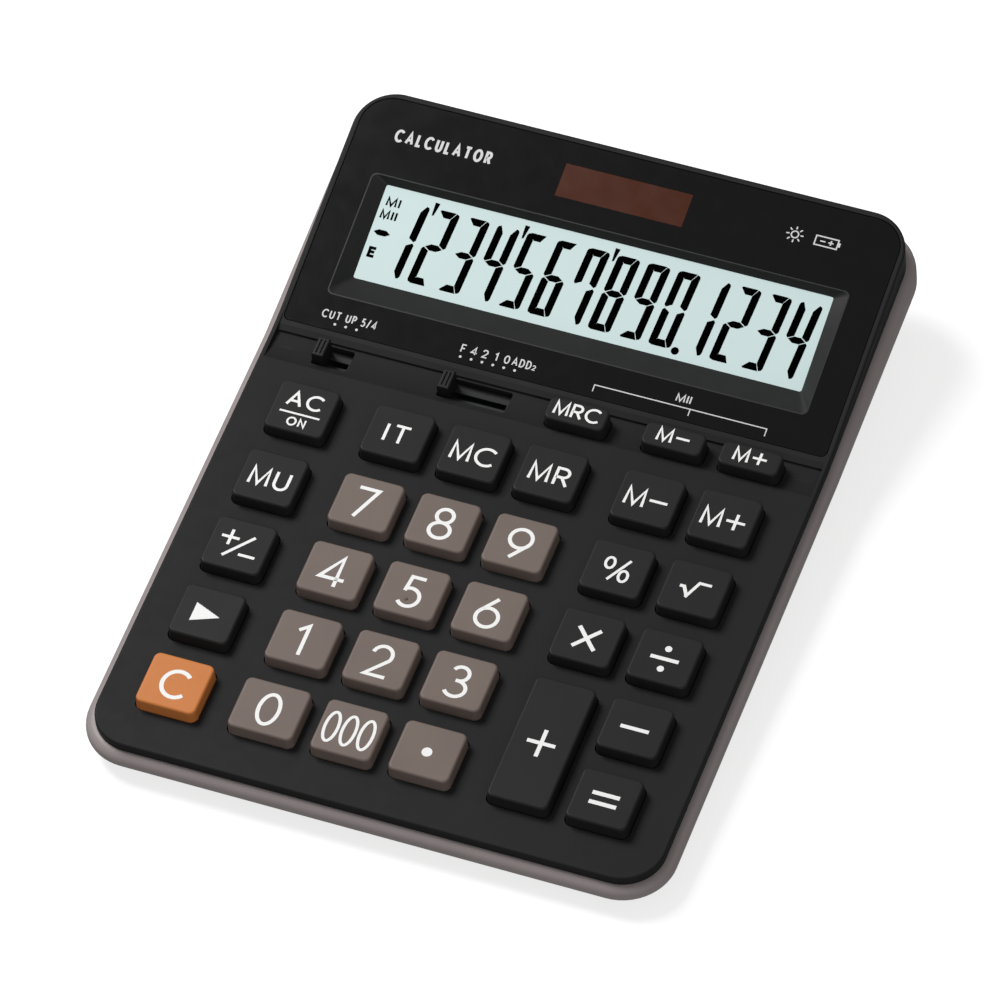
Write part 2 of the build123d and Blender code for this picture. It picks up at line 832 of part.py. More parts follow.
with BuildPart() as coin_cell:
    with BuildSketch(Plane.XY.offset(cell_bottom)):
        with Locations(cell_place):
            Circle(cell_radius)
    extrude(amount=cell_height - 0.9)
    with BuildSketch(Plane.XY.offset(cell_bottom)):
        with Locations(cell_place):
            Circle(cell_radius - 1.0)
    extrude(amount=cell_height - 0.2)
    fillet(coin_cell.edges().group_by(Axis.Z)[0], 0.4)

with BuildPart() as positive_contact:
    # strip along the cell's side with a tab over the well's edge
    with BuildSketch(Plane.XY.offset(cell_bottom)):
        with Locations((cell_place[0] - cell_radius - 0.8, cell_place[1])):
            Rectangle(0.3, 6)
    extrude(amount=cell_height + 1.9)
    with BuildSketch(Plane.XY.offset(cell_bottom + cell_height + 1.9)):
        with Locations((cell_place[0] - cell_radius - 2.3, cell_place[1])):
            Rectangle(3.3, 6)
    extrude(amount=0.3)

with BuildPart() as negative_contact:
    # leaf over the cell
    with BuildSketch(Plane.XY.offset(cell_bottom + cell_height + 0.15)):
        with Locations((cell_place[0] + 3.3, cell_place[1])):
            Rectangle(8.0, 3.6)
    extrude(amount=0.3)
    with BuildSketch(Plane.XY.offset(cell_bottom + cell_height - 0.15)):
        with Locations((cell_place[0] + 0.6, cell_place[1])):
            Circle(1.2)
    extrude(amount=0.45)

with BuildPart() as battery_door:
    with BuildSketch(Plane.XY.offset(block_clearance)):
        with Locations((cell_x, deck_front + cell_y)):
            RectangleRounded(2 * door_half_width, 2 * door_half_length, 1.2)
    extrude(amount=door_thickness)
    with BuildSketch(Plane.XY.offset(block_clearance)):
        with Locations((cell_x + 11.5, deck_front + cell_y)):
            Circle(2.3)
    extrude(amount=0.7, mode=Mode.SUBTRACT)
    with BuildSketch(Plane.XY.offset(block_clearance)):
        with Locations((cell_x + 11.5, deck_front + cell_y)):
            Circle(1.2)
    extrude(amount=door_thickness, mode=Mode.SUBTRACT)
    # finger groove
    with BuildSketch(Plane.XY.offset(block_clearance)):
        with Locations((cell_x - 14.0, deck_front + cell_y)):
            SlotOverall(10, 1.6, rotation=90)
    extrude(amount=0.5, mode=Mode.SUBTRACT)


def cross_screw(place, direction, radius, head_radius, head_height, length):
    """Cross-head screw from the underside of its head at place, with its tip towards direction."""
    start = Plane(origin=place, z_dir=direction)
    with BuildPart() as screw:
        with BuildSketch(start):
            Circle(radius)
        extrude(amount=length)
        with BuildSketch(start):
            Circle(head_radius)
        extrude(amount=-head_height)
        tip = screw.faces().sort_by(Axis(start.origin, start.z_dir))[-1]
        chamfer(tip.edges(), 0.5 * radius)
        crown = screw.faces().sort_by(Axis(start.origin, start.z_dir))[0]
        fillet(crown.edges(), 0.35 * head_height)
        with BuildSketch(start.offset(-head_height)):
            Rectangle(1.2 * head_radius, 0.28 * head_radius)
            Rectangle(0.28 * head_radius, 1.2 * head_radius)
        extrude(amount=0.6 * head_height, mode=Mode.SUBTRACT)
    return screw.part


battery_door_screw = cross_screw(
    (cell_x + 11.5, deck_front + cell_y, block_clearance + 0.68), (0, 0, 1), 0.93, 2.1, 0.6, 4.8
)
case_screws = Compound(
    children=[
        cross_screw(
            deck.from_local_coords(Vector(x, y, case_boss_foot + base_line(y, base_depth) - 1.32)),
            deck.z_dir,
            case_screw_radius,
            screw_head_radius,
            screw_head_height,
            5.6,
        )
        for y in case_boss_y
        for x in (-case_boss_x, case_boss_x)
    ]
)
board_screws = Compound(
    children=[
        cross_screw(
            deck.from_local_coords(Vector(x, y, board_top - board_thickness - 0.02)),
            deck.z_dir,
            board_screw_radius,
            1.9,
            0.7,
            4.6,
        )
        for x, y in boss_places
    ]
)

# rubber feet
with BuildPart() as front_feet:
    with BuildSketch(deck.offset(-base_depth + foot_sink)):
        with Locations((-front_foot_x, front_foot_y), (front_foot_x, front_foot_y)):
            Circle(foot_radius)
    extrude(amount=-6)
    with BuildSketch(Plane.XY):
        Rectangle(wide, 2 * rim_length)
    extrude(amount=-12, mode=Mode.SUBTRACT)

with BuildPart() as back_feet:
    with BuildSketch(Plane.XY):
        with Locations((-back_foot_x, deck_front + back_foot_y), (back_foot_x, deck_front + back_foot_y)):
            Circle(foot_radius)
    extrude(amount=block_clearance + foot_sink)

rubber_feet = Compound(children=front_feet.solids() + back_feet.solids())


def wire(points):
    """Insulated wire with rounded corners through points of the deck's own frame."""
    corners = [deck.from_local_coords(Vector(p)) for p in points]
    runs = [(b - a).length for a, b in zip(corners, corners[1:])]
    with BuildPart() as lead:
        with BuildLine() as path:
            FilletPolyline(*corners, radius=[0.3 * min(pair) for pair in zip(runs, runs[1:])])
        with BuildSketch(Plane(origin=path.line @ 0, z_dir=path.line % 0)):
            Circle(wire_radius)
        sweep(path=path.line)
    return lead.part


wire_end = board_top + wire_radius + 0.05
solar_wire_v = solar_back - 1.5
solar_under = panel_drop + panel_thickness + solar_thickness + 0.05
solar_y, solar_z = head_point(solar_wire_v, solar_under)
turn_y, turn_z = head_point(solar_wire_v, solar_under + 7)
solar_leads = []
for start_x, run_x in ((-3, 51.2), (3, 53.6)):
    route = [
        (start_x, solar_y, solar_z),
        (start_x, turn_y, turn_z),
        (run_x, turn_y, turn_z - 1),
        (run_x, 154, -5.9),
        (run_x, 149, wire_end),
        (run_x, 143, wire_end),
    ]
    solar_leads.append(wire(route))
solar_wires = Compound(children=solar_leads)

positive_tab = deck.to_local_coords(Vector(cell_place[0] - 8.6, cell_place[1] - 2.6, cell_bottom + 7.7))
negative_tab = deck.to_local_coords(Vector(cell_x + lead_hole_x, cell_place[1], cell_bottom + 5.95))
over_well = 3.4
battery_routes = [
    [
        (positive_tab.X, positive_tab.Y, positive_tab.Z + wire_radius),
        (-32.0, positive_tab.Y - 6, positive_tab.Z + 1),
        (-32.0, 152, -6.3),
        (-32.0, 148.6, wire_end),
        (-32.0, 143, wire_end),
    ],
    [
        (negative_tab.X, negative_tab.Y, negative_tab.Z),
        (negative_tab.X, negative_tab.Y, negative_tab.Z + over_well),
        (-29.0, negative_tab.Y - 8, negative_tab.Z + over_well),
        (-29.0, 152, -6.3),
        (-29.0, 148.6, wire_end),
        (-29.0, 143, wire_end),
    ],
]
battery_wires = Compound(children=[wire(route) for route in battery_routes])

# names and files --------------------------------------------------------------------------------------
pieces = {
    "upper_case": upper_case.part,
    "lower_case": lower_case.part,
    "display_panel": display_panel.part,
    "display_frame": display_frame.part,
    "lcd_glass": lcd_glass.part,
    "lcd_reflector": lcd_reflector.part,
    "lcd_holder": lcd_holder.part,
    "lcd_ribbon": lcd_ribbon.part,
    "solar_window": solar_window.part,
    "solar_cell": solar_cell.part,
    "solar_wires": solar_wires,
    "battery_wires": battery_wires,
    "circuit_board": circuit_board.part,
    "key_mat": key_mat.part,
    "controller_chip": controller_chip.part,
    "capacitor": capacitor.part,
    "round_switch_body": switch_body(round_knob_x, round_steps),
    "decimal_switch_body": switch_body(decimal_knob_x, decimal_steps),
    "round_switch_knob": switch_knob(round_knob_x),
    "decimal_switch_knob": switch_knob(decimal_knob_x),
    "coin_cell": coin_cell.part,
    "positive_contact": positive_contact.part,
    "negative_contact": negative_contact.part,
    "battery_door": battery_door.part,
    "battery_door_screw": battery_door_screw,
    "case_screws": case_screws,
    "board_screws": board_screws,
    "rubber_feet": rubber_feet,
}
for name, cap in key_parts.items():
    pieces["key_" + name] = cap
for name, piece in pieces.items():
    piece.label = name
    export_step(piece, "parts/" + name + ".step")
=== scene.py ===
"""Looks of a desk calculator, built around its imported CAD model: materials, key legends, prints on
the panel, the liquid crystal's figures, floor, lights and camera."""

import json
import math

import bpy
from mathutils import Matrix, Vector

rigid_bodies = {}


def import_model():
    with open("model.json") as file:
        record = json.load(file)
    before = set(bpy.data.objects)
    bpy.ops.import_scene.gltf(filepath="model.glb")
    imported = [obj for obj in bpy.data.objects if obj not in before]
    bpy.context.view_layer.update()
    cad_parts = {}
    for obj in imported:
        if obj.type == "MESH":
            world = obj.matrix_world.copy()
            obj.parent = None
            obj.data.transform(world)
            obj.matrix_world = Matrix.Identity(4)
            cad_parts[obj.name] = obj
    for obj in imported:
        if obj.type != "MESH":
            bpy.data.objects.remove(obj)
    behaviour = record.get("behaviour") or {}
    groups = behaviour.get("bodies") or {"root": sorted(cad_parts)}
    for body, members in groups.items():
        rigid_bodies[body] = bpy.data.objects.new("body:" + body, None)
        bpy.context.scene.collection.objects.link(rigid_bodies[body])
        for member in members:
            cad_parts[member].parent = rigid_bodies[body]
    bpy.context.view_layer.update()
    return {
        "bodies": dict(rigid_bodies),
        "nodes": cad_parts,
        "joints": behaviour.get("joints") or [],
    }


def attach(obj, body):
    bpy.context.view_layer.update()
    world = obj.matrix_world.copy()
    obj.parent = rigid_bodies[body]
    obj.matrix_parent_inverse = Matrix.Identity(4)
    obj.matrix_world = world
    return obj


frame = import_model()
nodes = frame["nodes"]
MM = 0.001

# camera -----------------------------------------------------------------------------------------
# Angle, distance and lens come from a fit of the CAD outline to the photograph.
VIEW_AZIMUTH = math.radians(23.52)
VIEW_ELEVATION = math.radians(51.15)
VIEW_ROLL = math.radians(-4.08)
VIEW_DISTANCE = 2.2243
VIEW_TARGET = Vector((-0.00085, -0.0026, 0.01435))
VIEW_LENS = 318.45
SENSOR_WIDTH = 36.0
CLIP_START = 0.1
CLIP_END = 20


def make_camera():
    """Camera to the front right and above, a long way off, with a long lens."""
    data = bpy.data.cameras.new("camera")
    data.lens = VIEW_LENS
    data.sensor_width = SENSOR_WIDTH
    data.clip_start = CLIP_START
    data.clip_end = CLIP_END
    camera = bpy.data.objects.new("camera", data)
    bpy.context.scene.collection.objects.link(camera)
    back = Vector((
        math.sin(VIEW_AZIMUTH) * math.cos(VIEW_ELEVATION),
        -math.cos(VIEW_AZIMUTH) * math.cos(VIEW_ELEVATION),
        math.sin(VIEW_ELEVATION),
    ))
    right = Vector((0, 0, 1)).cross(back).normalized()
    up = back.cross(right)
    level = Matrix((right, up, back)).transposed().to_4x4()
    place = Matrix.Translation(VIEW_TARGET + back * VIEW_DISTANCE)
    camera.matrix_world = place @ level @ Matrix.Rotation(VIEW_ROLL, 4, "Z")
    bpy.context.scene.camera = camera


make_camera()

# planes of the object, read from its CAD nodes --------------------------------------------------
FLAT_COSINE = 0.9995  # a mesh face whose normal is this close to the plane's lies along it
FLAT_DEPTH = 0.06 * MM  # a corner this close to the plane is on it


class Face:
    """A flat face of a CAD node, with +x to the user's right and +y up the face.

    left and front are its low corner along x and y, half_width and half_length its half sizes,
    and height is how far along its normal it lies, all in metres.
    """

    def __init__(self, node, normal):
        self.up = normal.normalized()
        self.right = Vector((1, 0, 0))
        self.back = self.up.cross(self.right).normalized()
        mesh = nodes[node].data
        levels = {}
        for face in mesh.polygons:
            if face.normal.dot(self.up) > FLAT_COSINE:
                level = round(face.center.dot(self.up) / MM, 1)
                levels[level] = levels.get(level, 0) + face.area
        top = max(levels, key=levels.get) * MM
        corners = [v.co for v in mesh.vertices if abs(v.co.dot(self.up) - top) < FLAT_DEPTH]
        across = [p.x for p in corners]
        along = [p.dot(self.back) for p in corners]
        self.left, self.half_width = min(across), (max(across) - min(across)) / 2
        self.front, self.half_length = min(along), (max(along) - min(along)) / 2
        self.height = max(p.dot(self.up) for p in corners)

    def shift(self, x, y):
        """Move the face's middle x right and y up, in millimetres."""
        self.left += x * MM
        self.front += y * MM

    def point(self, x, y, lift):
        """World point x right and y up from the middle and lift above it, in millimetres."""
        return (
            self.right * (self.left + self.half_width + x * MM)
            + self.back * (self.front + self.half_length + y * MM)
            + self.up * (self.height + lift * MM)
        )


def widest_normal(node):
    """Normal of the node's widest mesh face that looks upwards."""
    faces = [p for p in nodes[node].data.polygons if p.normal.z > 0.5]
    return max(faces, key=lambda p: p.area).normal.copy()


press = next(j for j in frame["joints"] if j["name"] == "key_5_press")
deck_up = -Vector(press["axis"])
head_up = widest_normal("display_panel")
glass_up = widest_normal("lcd_glass")

# materials --------------------------------------------------------------------------------------
# Noise scales are in waves per metre.
BLOTCH_SCALE = 60
GLOSS_SCALE = 220
GRAIN_SCALE = 2600
METAL_SCALE = 900
INK_SCALE = 1500
NOISE_LOW, NOISE_HIGH = 0.3, 0.7


def new_material(name):
    """Node material, its tree and its shader."""
    material = bpy.data.materials.new(name)
    material.use_nodes = True
    shader = material.node_tree.nodes["Principled BSDF"]
    return material, material.node_tree, shader


def noise(tree, scale, detail=2.0):
    """Noise that is fixed in the object."""
    place = tree.nodes.new("ShaderNodeTexCoord")
    texture = tree.nodes.new("ShaderNodeTexNoise")
    texture.inputs["Scale"].default_value = scale
    texture.inputs["Detail"].default_value = detail
    tree.links.new(place.outputs["Object"], texture.inputs["Vector"])
    return texture.outputs["Fac"]


def mapped(tree, value, low, high):
    """The noise's usual range spread over low to high."""
    node = tree.nodes.new("ShaderNodeMapRange")
    node.inputs["From Min"].default_value = NOISE_LOW
    node.inputs["From Max"].default_value = NOISE_HIGH
    node.inputs["To Min"].default_value = low
    node.inputs["To Max"].default_value = high
    tree.links.new(value, node.inputs["Value"])
    return node.outputs["Result"]


def mixed_colour(tree, factor, first, second):
    """Colour between first and second."""
    mix = tree.nodes.new("ShaderNodeMix")
    mix.data_type = "RGBA"
    mix.inputs["A"].default_value = (*first, 1)
    mix.inputs["B"].default_value = (*second, 1)
    tree.links.new(factor, mix.inputs["Factor"])
    return mix.outputs["Result"]


def plastic(
    name, colour, roughness, grain=0.004, grain_scale=GRAIN_SCALE, blotch=0.05, sheen=0.5
):
    """Moulded plastic with a fine grain, grain millimetres deep, and slight unevenness in colour
    and gloss."""
    material, tree, shader = new_material(name)
    darker = tuple(c * (1 - blotch) for c in colour)
    lighter = tuple(c * (1 + blotch) for c in colour)
    patches = mapped(tree, noise(tree, BLOTCH_SCALE, 3), 0, 1)
    tree.links.new(mixed_colour(tree, patches, darker, lighter), shader.inputs["Base Color"])
    wear = mapped(tree, noise(tree, GLOSS_SCALE, 4), roughness * 0.9, roughness * 1.1)
    tree.links.new(wear, shader.inputs["Roughness"])
    bump = tree.nodes.new("ShaderNodeBump")
    bump.inputs["Strength"].default_value = 0.5
    bump.inputs["Distance"].default_value = grain * MM
    tree.links.new(noise(tree, grain_scale, 2), bump.inputs["Height"])
    tree.links.new(bump.outputs["Normal"], shader.inputs["Normal"])
    shader.inputs["Specular IOR Level"].default_value = sheen
    return material


def metal(name, colour, roughness):
    """Plated metal, slightly uneven in gloss."""
    material, tree, shader = new_material(name)
    shader.inputs["Base Color"].default_value = (*colour, 1)
    shader.inputs["Metallic"].default_value = 1
    wear = mapped(tree, noise(tree, METAL_SCALE, 3), roughness * 0.8, roughness * 1.25)
    tree.links.new(wear, shader.inputs["Roughness"])
    return material


def ink(name, colour, roughness, sheen=0.3):
    """Printed or inlaid ink, slightly uneven."""
    material, tree, shader = new_material(name)
    thin = tuple(c * 0.97 for c in colour)
    patches = mixed_colour(tree, noise(tree, INK_SCALE, 2), thin, colour)
    tree.links.new(patches, shader.inputs["Base Color"])
    shader.inputs["Roughness"].default_value = roughness
    shader.inputs["Specular IOR Level"].default_value = sheen
    return material


deck_plastic = plastic("deck_plastic", (0.0185, 0.0185, 0.0187), 0.48, sheen=0.09)
rim_plastic = plastic("rim_plastic", (0.335, 0.29, 0.288), 0.42, blotch=0.04, sheen=0.3)
panel_gloss = plastic(
    "panel_gloss", (0.005, 0.005, 0.0051), 0.12, grain=0.0006, grain_scale=400, sheen=0.27
)
frame_plastic = plastic("frame_plastic", (0.019, 0.019, 0.0193), 0.42, sheen=0.25)
number_plastic = plastic("number_plastic", (0.185, 0.143, 0.125), 0.42, sheen=0.2)
black_plastic = plastic("black_plastic", (0.0205, 0.0205, 0.0207), 0.42, sheen=0.11)
orange_plastic = plastic("orange_plastic", (0.64, 0.215, 0.056), 0.42, sheen=0.2)
knob_plastic = plastic("knob_plastic", (0.014, 0.014, 0.0145), 0.4, sheen=0.2)
lcd_surface = plastic(
    "lcd_surface", (0.68, 0.83, 0.82), 0.3, grain=0.001, blotch=0.01, sheen=0.2
)
solar_surface = plastic("solar_surface", (0.064, 0.0125, 0.0025), 0.2, grain=0.0005, sheen=0.3)
rubber = plastic("rubber", (0.02, 0.02, 0.02), 0.75, grain=0.01)
silicone = plastic("silicone", (0.45, 0.46, 0.47), 0.5)
board_green = plastic("board_green", (0.004, 0.016, 0.008), 0.4)
resin = plastic("resin", (0.01, 0.01, 0.01), 0.2)
ribbon_film = plastic("ribbon_film", (0.6, 0.58, 0.54), 0.4)
wire_red = plastic("wire_red", (0.42, 0.02, 0.02), 0.4)
steel = metal("steel", (0.56, 0.56, 0.57), 0.3)
white_ink = ink("white_ink", (0.98, 0.98, 0.97), 0.45)
print_ink = ink("print_ink", (0.72, 0.72, 0.72), 0.45)
segment_ink = ink("segment_ink", (0.0006, 0.0006, 0.0007), 0.6, sheen=0.0)

number_keys = ["7", "8", "9", "4", "5", "6", "1", "2", "3", "0", "000", "point"]
finishes = {
    "upper_case": deck_plastic,
    "lower_case": rim_plastic,
    "battery_door": rim_plastic,
    "display_panel": panel_gloss,
    "display_frame": frame_plastic,
    "lcd_holder": frame_plastic,
    "round_switch_body": frame_plastic,
    "decimal_switch_body": frame_plastic,
    "round_switch_knob": knob_plastic,
    "decimal_switch_knob": knob_plastic,
    "lcd_glass": lcd_surface,
    "lcd_reflector": lcd_surface,
    "solar_window": solar_surface,
    "solar_cell": solar_surface,
    "rubber_feet": rubber,
    "key_mat": silicone,
    "circuit_board": board_green,
    "controller_chip": resin,
    "lcd_ribbon": ribbon_film,
    "solar_wires": wire_red,
    "battery_wires": wire_red,
    "key_c": orange_plastic,
}
for name, node in nodes.items():
    if name in finishes:
        finish = finishes[name]
    elif name.startswith("key_"):
        finish = number_plastic if name[len("key_"):] in number_keys else black_plastic
    else:
        finish = steel
    node.data.materials.clear()
    node.data.materials.append(finish)


# flat figures made of strokes -------------------------------------------------------------------
def arc(x, y, across, along, start, end, steps=28):
    """Points on an ellipse's arc from start to end, in degrees."""
    angles = [math.radians(start + (end - start) * i / steps) for i in range(steps + 1)]
    return [(x + across * math.cos(a), y + along * math.sin(a)) for a in angles]


# A stroke is a list of points on its centre line. A letter is drawn one unit high between its
# centre lines, with its left edge at x = 0.
LETTERS = {
    "0": [arc(0.29, 0.5, 0.29, 0.5, 90, 450, 48)],
    "1": [[(0, 0.8), (0.25, 1), (0.25, 0)]],
    "2": [arc(0.29, 0.71, 0.28, 0.29, 172, -32) + [(0, 0), (0.6, 0)]],
    "3": [
        arc(0.27, 0.765, 0.24, 0.235, 155, -90) + [(0.2, 0.53)],
        arc(0.27, 0.265, 0.3, 0.265, 90, -152),
    ],
    "4": [[(0.5, 0), (0.5, 1), (0, 0.26), (0.72, 0.26)]],
    "5": [[(0.55, 1), (0.15, 1), (0.09, 0.5)], arc(0.26, 0.31, 0.31, 0.31, 122, -145)],
    "6": [arc(0.32, 0.32, 0.32, 0.32, 90, 450, 40), [(0.46, 1), (0.045, 0.48)]],
    "7": [[(0, 1), (0.58, 1), (0.14, 0)]],
    "8": [
        arc(0.3, 0.765, 0.24, 0.235, 90, 450, 40),
        arc(0.3, 0.265, 0.3, 0.265, 90, 450, 40),
    ],
    "9": [arc(0.32, 0.68, 0.32, 0.32, 90, 450, 40), [(0.18, 0), (0.595, 0.52)]],
    "A": [[(0, 0), (0.42, 1), (0.84, 0)], [(0.14, 0.33), (0.70, 0.33)]],
    "C": [arc(0.53, 0.5, 0.53, 0.5, 44, 316)],
    "D": [[(0, 1), (0, 0), (0.25, 0)] + arc(0.25, 0.5, 0.45, 0.5, -90, 90) + [(0, 1)]],
    "E": [[(0.5, 1), (0, 1), (0, 0), (0.5, 0)], [(0, 0.52), (0.44, 0.52)]],
    "F": [[(0.5, 1), (0, 1), (0, 0)], [(0, 0.5), (0.42, 0.5)]],
    "I": [[(0, 0), (0, 1)]],
    "L": [[(0, 1), (0, 0), (0.5, 0)]],
    "M": [[(0, 0), (0.05, 1), (0.45, 0.04), (0.85, 1), (0.9, 0)]],
    "N": [[(0, 0), (0, 1), (0.64, 0), (0.64, 1)]],
    "O": [arc(0.47, 0.5, 0.47, 0.5, 90, 450, 40)],
    "P": [[(0, 0), (0, 1), (0.28, 1)] + arc(0.28, 0.74, 0.26, 0.26, 90, -90) + [(0, 0.48)]],
    "R": [
        [(0, 0), (0, 1), (0.34, 1)] + arc(0.34, 0.74, 0.28, 0.26, 90, -90) + [(0, 0.48)],
        [(0.32, 0.48), (0.66, 0)],
    ],
    "T": [[(0, 1), (0.74, 1)], [(0.37, 1), (0.37, 0)]],
    "U": [[(0, 1), (0, 0.33)] + arc(0.33, 0.33, 0.33, 0.33, 180, 360) + [(0.66, 1)]],
    "/": [[(0, -0.08), (0.4, 1.08)]],
    "+": [[(0, 0.5), (0.94, 0.5)], [(0.47, 0.03), (0.47, 0.97)]],
    "-": [[(0, 0.5), (0.9, 0.5)]],
    " ": [],
}
LETTER_GAP = 0.2
SPACE_WIDTH = 0.1
FIRST_LIFT = 0.01  # millimetres above the face
NEXT_LIFT = 0.0004
SAME_POINT = 1e-6
SHARPEST_MITRE = 0.45  # cosine of half the turn at which a corner stops growing longer


class Drawing:
    """Flat shapes on a face, in millimetres from its middle.

    Each shape lies a hair above the last, so crossing strokes don't share a surface.
    """

    def __init__(self, face):
        self.face = face
        self.lift = FIRST_LIFT
        self.points = []
        self.faces = []

    def polygon(self, outline):
        """Filled convex outline."""
        first = len(self.points)
        self.lift += NEXT_LIFT
        self.points += [self.face.point(x, y, self.lift) for x, y in outline]
        self.faces.append(range(first, first + len(outline)))

    def stroke(self, points, width):
        """Line of that width along points, mitred at its corners and square at its ends."""
        points = [
            p for i, p in enumerate(points) if i == 0 or math.dist(p, points[i - 1]) > SAME_POINT
        ]
        closed = math.dist(points[0], points[-1]) < SAME_POINT
        middle = points[:-1] if closed else points
        count = len(middle)
        first = len(self.points)
        self.lift += NEXT_LIFT
        for i, (x, y) in enumerate(middle):
            before = middle[i - 1] if i > 0 or closed else None
            after = middle[(i + 1) % count] if i < count - 1 or closed else None
            into = Vector((x - before[0], y - before[1])).normalized() if before else None
            out = Vector((after[0] - x, after[1] - y)).normalized() if after else None
            along = ((into or out) + (out or into)).normalized()
            side = Vector((-along.y, along.x))
            reach = width / 2 / max(SHARPEST_MITRE, along.dot(out or into))
            for sign in (1, -1):
                at = Vector((x, y)) + side * sign * reach
                self.points.append(self.face.point(at.x, at.y, self.lift))
        for i in range(count if closed else count - 1):
            a = first + 2 * i
            b = first + 2 * ((i + 1) % count)
            self.faces.append((a, a + 1, b + 1, b))

    def bar(self, x, y, reach, width):
        """Level line that goes reach to each side of x, y."""
        self.stroke([(x - reach, y), (x + reach, y)], width)

    def dot(self, x, y, radius):
        """Filled disc."""
        self.polygon(arc(x, y, radius, radius, 0, 350, 27))

    def word(self, text, x, y, height, width, spread=1.0, gap=LETTER_GAP):
        """Text centred on x, y: height is the outer cap height and width the stroke's."""
        scale = height - width
        letters = []
        place = 0.0
        for letter in text:
            strokes = LETTERS[letter]
            reach = max([px for s in strokes for px, py in s], default=SPACE_WIDTH)
            letters.append((place, strokes))
            place += reach * spread * scale + width + gap * scale
        total = place - gap * scale - width
        for start, strokes in letters:
            left = x - total / 2 + start
            for s in strokes:
                points = [(left + px * spread * scale, y + (py - 0.5) * scale) for px, py in s]
                self.stroke(points, width)

    def piece(self, name, material, body):
        """Make the drawing one piece that rides on body."""
        mesh = bpy.data.meshes.new(name)
        mesh.from_pydata([tuple(p) for p in self.points], [], [list(f) for f in self.faces])
        mesh.materials.append(material)
        made = bpy.data.objects.new(name, mesh)
        bpy.context.scene.collection.objects.link(made)
        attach(made, body)


# key legends ------------------------------------------------------------------------------------
DIGIT_HEIGHT = 10.0
DIGIT_STROKE = 1.0
WORD_HEIGHT = 6.0
WORD_STROKE = 0.78
SMALL_WORD_HEIGHT = 4.6
SMALL_WORD_STROKE = 0.68
SIGN_STROKE = 1.05
SIGN_REACH = 3.7


def draw_ac(art):
    """AC over a bar over ON."""
    art.word("AC", 0, 2.75, 4.9, 0.72)
    art.bar(0, -1.6, 5.4, 0.55)
    art.word("ON", 0, -4.15, 2.8, 0.5)


def draw_sign(art):
    """Plus over minus with a slash between."""
    art.bar(-2.85, 2.1, 2.35, 0.8)
    art.stroke([(-2.85, -0.25), (-2.85, 4.45)], 0.8)
    art.stroke([(-3.1, -3.7), (3.3, 3.6)], 0.8)
    art.bar(3.0, -2.4, 2.2, 0.8)


def draw_times(art):
    """Multiplication cross."""
    art.stroke([(-2.9, -3.1), (2.9, 3.1)], SIGN_STROKE)
    art.stroke([(-2.9, 3.1), (2.9, -3.1)], SIGN_STROKE)


def draw_divide(art):
    """Division bar and dots."""
    art.bar(0, 0, SIGN_REACH, SIGN_STROKE)
    art.dot(0, 3.1, 0.9)
    art.dot(0, -3.1, 0.9)


def draw_percent(art):
    """Percent sign."""
    for side in (-1, 1):
        art.stroke(arc(side * 2.2, -side * 1.55, 1.15, 1.65, 90, 450, 32), 0.72)
    art.stroke([(-1.45, -3.5), (2.75, 3.5)], 0.72)


def draw_root(art):
    """Square root sign."""
    art.stroke([(-3.85, 0.35), (-2.7, 0.35), (-1.25, -2.3)], 0.9)
    art.stroke([(-1.5, -2.75), (0.75, 2.3), (3.9, 2.3)], 0.8)


def draw_arrow(art):
    """Solid triangle that points right."""
    art.polygon([(-3.6, -2.85), (3.5, 0), (-3.6, 2.85)])


def draw_plus(art):
    """Addition cross."""
    art.bar(0, 0, SIGN_REACH, SIGN_STROKE)
    art.stroke([(0, -4.1), (0, 4.1)], SIGN_STROKE)


def draw_minus(art):
    """Subtraction bar."""
    art.bar(0, 0, SIGN_REACH, SIGN_STROKE)


def draw_equals(art):
    """Two bars."""
    for y in (1.4, -1.4):
        art.bar(0, y, 3.55, 1.15)


def draw_point(art):
    """Decimal point."""
    art.dot(0, 0, 1.35)


signs = {
    "ac": draw_ac,
    "sign": draw_sign,
    "times": draw_times,
    "divide": draw_divide,
    "percent": draw_percent,
    "root": draw_root,
    "arrow": draw_arrow,
    "plus": draw_plus,
    "minus": draw_minus,
    "equals": draw_equals,
    "point": draw_point,
}
# text, height, stroke, spread and gap of the legends that are words
words = {
    "it": ("IT", WORD_HEIGHT, WORD_STROKE, 1.0, 0.24),
    "mc": ("MC", WORD_HEIGHT, WORD_STROKE, 1.0, 0.16),
    "mr": ("MR", WORD_HEIGHT, WORD_STROKE, 1.0, 0.2),
    "mu": ("MU", WORD_HEIGHT, WORD_STROKE, 1.0, 0.2),
    "m_minus": ("M-", WORD_HEIGHT, WORD_STROKE, 1.0, 0.12),
    "m_plus": ("M+", WORD_HEIGHT, WORD_STROKE, 1.0, 0.12),
    "mrc": ("MRC", SMALL_WORD_HEIGHT, SMALL_WORD_STROKE, 0.96, 0.13),
    "m2_minus": ("M-", SMALL_WORD_HEIGHT, SMALL_WORD_STROKE, 1.0, 0.13),
    "m2_plus": ("M+", SMALL_WORD_HEIGHT, SMALL_WORD_STROKE, 1.0, 0.13),
    "c": ("C", 9.0, 1.1, 0.88, 0.2),
    "000": ("000", 9.6, 0.8, 0.65, 0.055),
}
for figure in "0123456789":
    words[figure] = (figure, DIGIT_HEIGHT, DIGIT_STROKE, 1.0, LETTER_GAP)

